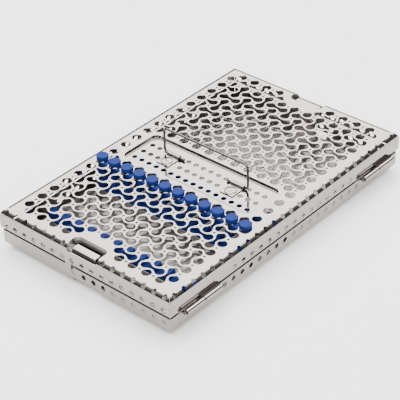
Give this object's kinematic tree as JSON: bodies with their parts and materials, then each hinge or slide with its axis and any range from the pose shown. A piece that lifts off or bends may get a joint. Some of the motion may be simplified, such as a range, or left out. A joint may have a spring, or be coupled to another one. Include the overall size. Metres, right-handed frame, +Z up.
{
  "type": "sterilization container",
  "caption": "Shallow rectangular perforated steel case with a hinged lid, thumb latches, a folding wire bail and soft instrument rails.",
  "frame": {"origin": "centre of the tray's flat underside, which the case stands on", "axes": "+X along the length towards the end with the far latch, +Y from the hinged long side to the opening long side, +Z up"},
  "size_m": [0.281, 0.1799, 0.0559],
  "materials": {
    "polished_steel": "polished",
    "steel_wire": "polished",
    "inner_steel": "satin",
    "blue_silicone": "matt"
  },
  "bodies": {
    "tray": {"base_tray": "polished_steel", "tray_hinge_leaf_near": "polished_steel", "tray_hinge_leaf_far": "polished_steel", "hinge_pin_near": "steel_wire", "hinge_pin_far": "steel_wire", "tray_rail_1": "blue_silicone", "tray_rail_2": "blue_silicone", "tray_rail_3": "blue_silicone", "rail_channel_1": "inner_steel", "rail_channel_2": "inner_steel", "rail_channel_3": "inner_steel", "latch_foot_near": "inner_steel", "latch_foot_far": "inner_steel", "latch_rivets_near": "inner_steel", "latch_rivets_far": "inner_steel"},
    "lid": {"lid_cover": "polished_steel", "lid_hinge_leaf_near": "polished_steel", "lid_hinge_leaf_far": "polished_steel", "lid_rail": "blue_silicone", "bail_clip_left": "polished_steel", "bail_clip_right": "polished_steel", "clip_rivet_left": "polished_steel", "clip_rivet_right": "polished_steel"},
    "bail": {"bail_handle": "steel_wire"},
    "tongue_near": {"latch_tongue_near": "polished_steel"},
    "tongue_far": {"latch_tongue_far": "polished_steel"}
  },
  "joints": [
    {"name": "lid_hinge", "type": "hinge", "parent": "tray", "child": "lid", "pos_m": [0, -0.0902, 0.0156], "axis": [1, 0, 0], "range_deg": [0, 180]},
    {"name": "bail_fold", "type": "hinge", "parent": "lid", "child": "bail", "pos_m": [0, 0, 0.0327], "axis": [0, -1, 0], "range_deg": [0, 90]},
    {"name": "latch_near_press", "type": "hinge", "parent": "tray", "child": "tongue_near", "pos_m": [-0.1299, 0, 0.006], "axis": [0, 1, 0], "range_deg": [0, 5], "stiffness_Nm_per_rad": 0.1, "springref_deg": -11.46},
    {"name": "latch_far_press", "type": "hinge", "parent": "tray", "child": "tongue_far", "pos_m": [0.1299, 0, 0.006], "axis": [0, -1, 0], "range_deg": [0, 5], "stiffness_Nm_per_rad": 0.1, "springref_deg": -11.46}
  ]
}
